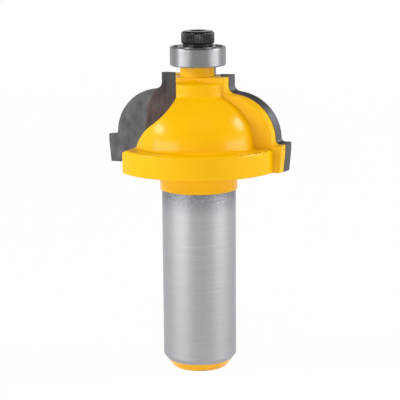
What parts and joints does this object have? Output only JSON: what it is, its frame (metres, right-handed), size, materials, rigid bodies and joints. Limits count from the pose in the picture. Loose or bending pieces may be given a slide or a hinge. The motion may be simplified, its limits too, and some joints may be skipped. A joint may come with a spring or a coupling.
{
  "type": "router bit",
  "caption": "Carbide-tipped router bit that cuts a stepped bead-and-cove moulding, with a guide bearing held on its end by a cap screw.",
  "frame": {"origin": "centre of the shank's end face, which is also the bottom centre of the box", "axes": "+Z along the shank towards the guide bearing, cutting edges along +X and -X"},
  "size_m": [0.0326, 0.0288, 0.0584],
  "materials": {
    "enamelled_steel": "glossy yellow enamel, shank ground bright",
    "carbide": "fine ground, grey",
    "bearing_steel": "ground and polished",
    "cage_brass": "pressed, plain",
    "shield_steel": "pressed, plain",
    "black_oxide_steel": "black oxide, slightly oiled"
  },
  "bodies": {
    "bit": {"body": "enamelled_steel", "cutter_1": "carbide", "cutter_2": "carbide", "cap_screw": "black_oxide_steel", "washer": "black_oxide_steel", "bearing_inner_ring": "bearing_steel"},
    "outer_ring": {"bearing_outer_ring": "bearing_steel", "shield_top": "shield_steel", "shield_bottom": "shield_steel", "snap_ring_top": "shield_steel", "snap_ring_bottom": "shield_steel"},
    "cage": {"bearing_cage": "cage_brass", "ball_1": "bearing_steel", "ball_2": "bearing_steel", "ball_3": "bearing_steel", "ball_4": "bearing_steel", "ball_5": "bearing_steel", "ball_6": "bearing_steel", "ball_7": "bearing_steel", "ball_8": "bearing_steel"}
  },
  "joints": [
    {"name": "outer_ring_turn", "type": "hinge", "parent": "bit", "child": "outer_ring", "pos_m": [0, 0, 0.05429], "axis": [0, 0, 1], "continuous": true},
    {"name": "cage_turn", "type": "hinge", "parent": "bit", "child": "cage", "pos_m": [0, 0, 0.05429], "axis": [0, 0, 1], "continuous": true}
  ],
  "couplings": [
    {"joint": "cage_turn", "follows": "outer_ring_turn", "ratio": 0.6111}
  ]
}
